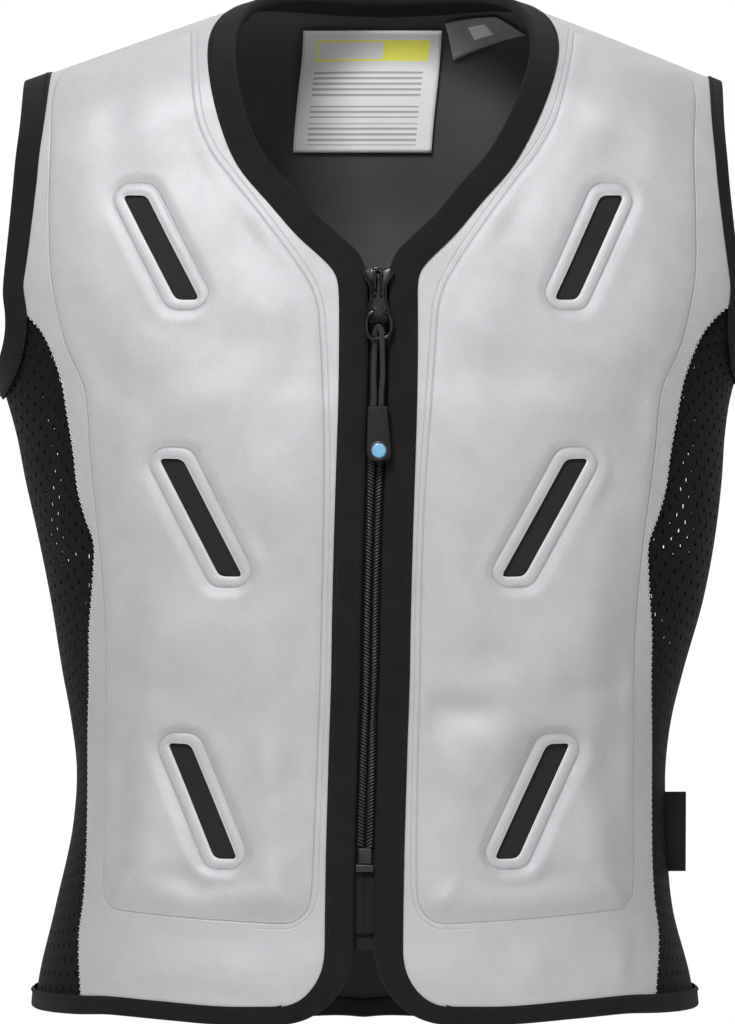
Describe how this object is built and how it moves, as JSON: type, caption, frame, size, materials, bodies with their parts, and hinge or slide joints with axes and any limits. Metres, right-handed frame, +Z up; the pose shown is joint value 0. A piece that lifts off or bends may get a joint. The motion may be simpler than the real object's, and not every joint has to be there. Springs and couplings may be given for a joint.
{
  "type": "cooling vest",
  "caption": "Sleeveless water-filled cooling vest with silver bladder panels, mesh sides, folded edge binding, slanted vent slots and a front zip, in its worn form.",
  "frame": {"origin": "middle of the neck opening at shoulder height, where the wearer's shoulders hold the vest up", "axes": "+Z up along the wearer's body, +Y from the front to the back, +X to the wearer's left"},
  "size_m": [0.376, 0.2221, 0.5307],
  "materials": {
    "silver": "satin silver coated film over a water bladder",
    "lining": "matte knit lining",
    "mesh": "matte stretch mesh with eyelets",
    "binding": "matte woven tape",
    "coil": "semi-matte nylon",
    "plastic": "semi-matte moulded",
    "guard": "matte knit",
    "cord": "matte braided cord",
    "disc": "glossy inlay",
    "label": "satin woven",
    "tab": "matte woven"
  },
  "bodies": {
    "root": {"front_panel_right": "silver", "front_panel_left": "silver", "back_panel": "silver", "front_lining_right": "lining", "front_lining_left": "lining", "back_lining": "lining", "side_panel_right": "mesh", "side_panel_left": "mesh", "neck_binding": "binding", "hem_binding": "binding", "armhole_binding_right": "binding", "armhole_binding_left": "binding", "zip_tape_right": "binding", "zip_tape_left": "binding", "zip_coil_right": "coil", "zip_coil_left": "coil", "zip_box": "plastic", "zip_guard": "guard", "zip_slider": "plastic", "zip_bail": "plastic", "pull_cord": "cord", "pull_end": "plastic", "pull_disc": "disc", "neck_label": "label", "size_tab": "tab", "side_tab": "binding"}
  },
  "joints": []
}
